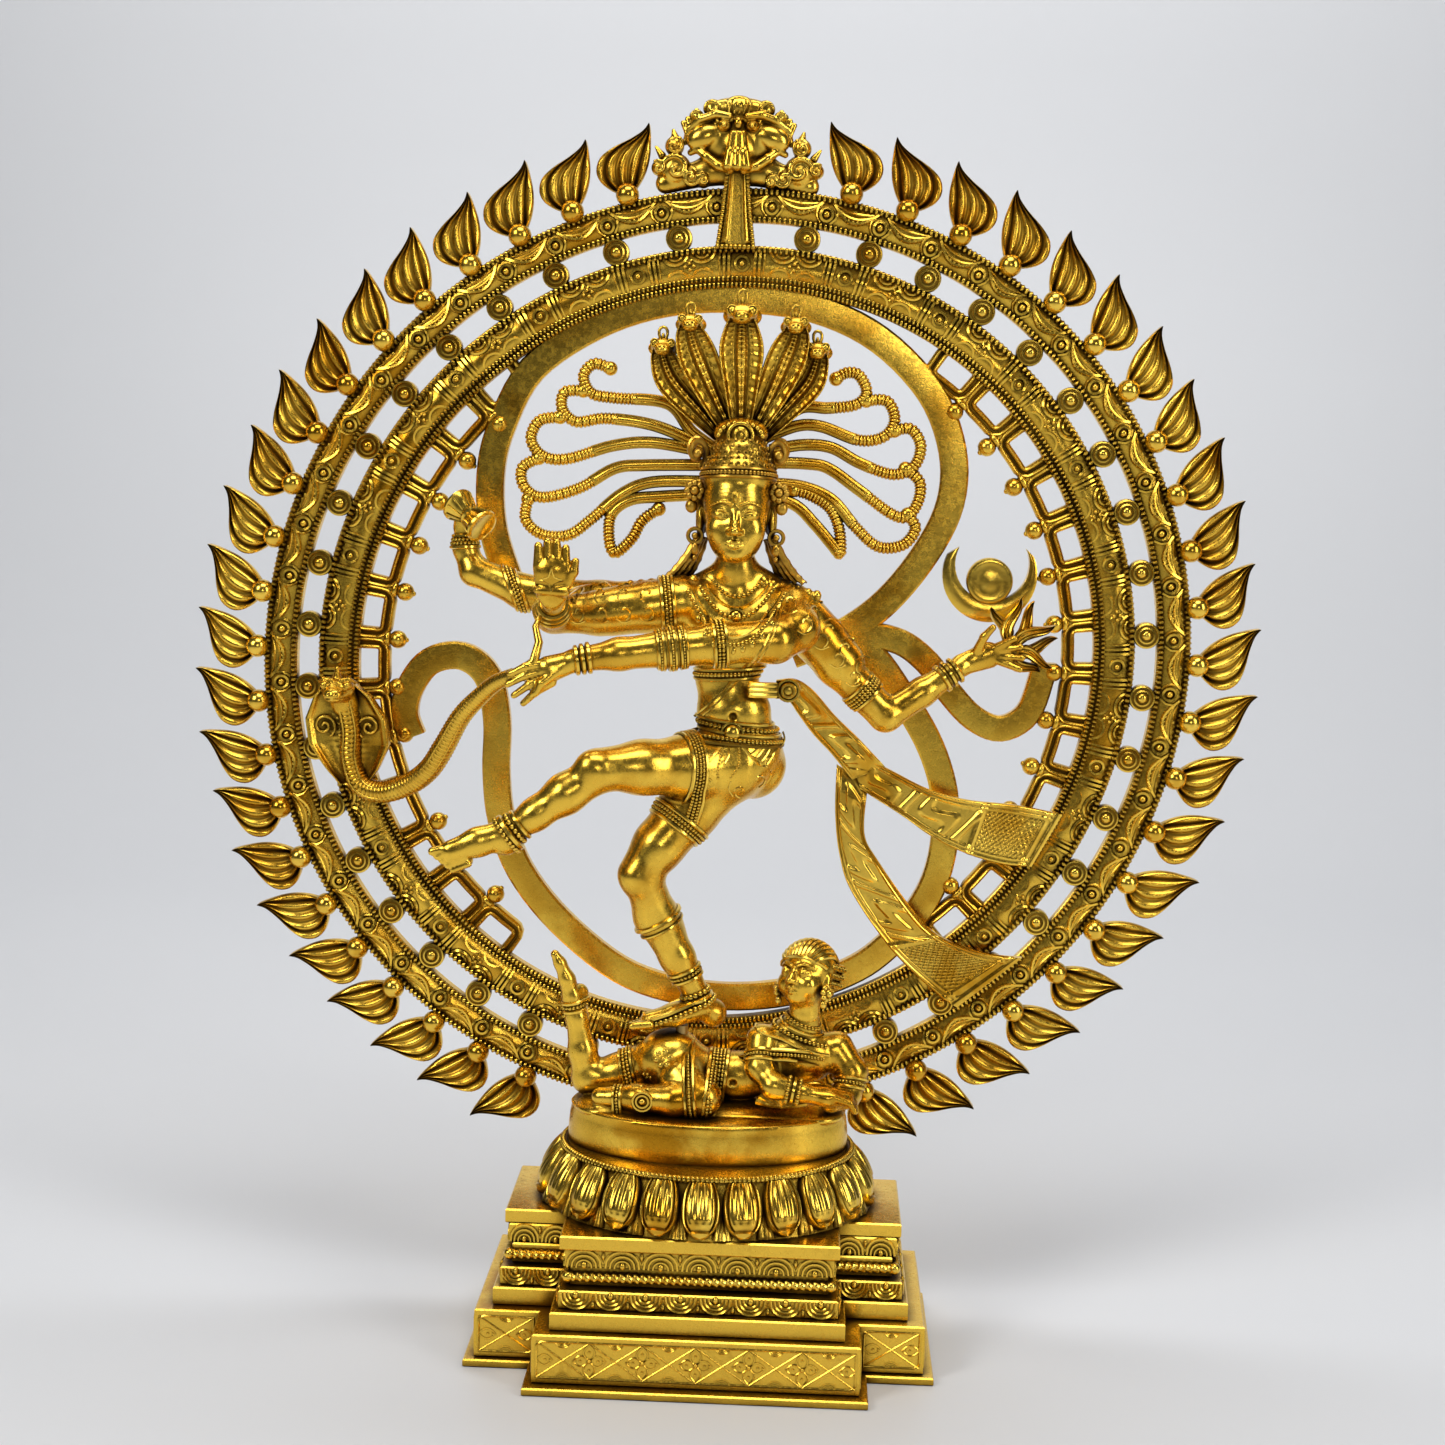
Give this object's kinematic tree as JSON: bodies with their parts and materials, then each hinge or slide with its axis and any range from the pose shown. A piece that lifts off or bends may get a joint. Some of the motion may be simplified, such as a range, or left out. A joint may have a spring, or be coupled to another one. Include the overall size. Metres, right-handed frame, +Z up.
{
  "type": "statue",
  "caption": "Brass nataraja statue: ringed halo with flames behind a four-armed dancer on a dwarf, lotus and stepped base.",
  "frame": {"origin": "middle of the base's underside, on the floor plane", "axes": "+Z up, the dancer faces -Y, +X to the viewer's right"},
  "size_m": [0.5338, 0.168, 0.6099],
  "materials": {
    "cast_brass": "cast and buffed brass with a dark wash left in the recesses",
    "polished_brass": "raised detail polished brighter, dark wash in the recesses",
    "aged_brass": "darker antiqued brass",
    "fixing_brass": "plain turned brass screws, stud and nut"
  },
  "bodies": {
    "root": {"base_lower": "cast_brass", "base_upper": "cast_brass", "base_ropes": "polished_brass", "base_screws": "fixing_brass", "lotus": "cast_brass", "lotus_petals": "polished_brass", "lotus_screws": "fixing_brass", "bead_rim": "polished_brass", "plinth": "cast_brass", "dwarf_body": "cast_brass", "dwarf_head": "cast_brass", "dwarf_arms": "cast_brass", "dwarf_leg": "cast_brass", "dwarf_fan": "cast_brass", "standing_leg": "cast_brass", "raised_leg": "cast_brass", "hips": "cast_brass", "torso": "cast_brass", "head": "cast_brass", "hair_crown": "aged_brass", "serpent_crown": "cast_brass", "hair_left": "cast_brass", "hair_right": "cast_brass", "blessing_arm": "cast_brass", "crossing_arm": "cast_brass", "drum_arm": "cast_brass", "fire_arm": "cast_brass", "hand_drum": "polished_brass", "hand_fire": "polished_brass", "cobra": "cast_brass", "cobra_hood": "cast_brass", "shawl": "polished_brass", "sash_strap": "polished_brass", "sash_upper": "polished_brass", "sash_lower": "polished_brass", "figure_stud": "fixing_brass", "figure_nut": "fixing_brass"},
    "halo": {"outer_band": "cast_brass", "inner_band": "cast_brass", "rosettes": "polished_brass", "halo_tab": "cast_brass", "crest": "polished_brass", "crest_scrolls": "polished_brass", "flames_left": "cast_brass", "flames_right": "cast_brass", "root_balls": "polished_brass", "lattice_left": "cast_brass", "lattice_right": "cast_brass", "curl": "cast_brass", "moon": "polished_brass", "halo_feet": "cast_brass"}
  },
  "joints": [
    {"name": "halo_lift", "type": "slide", "parent": "root", "child": "halo", "axis": [0, 0, 1], "range_m": [0, 0.02]}
  ]
}
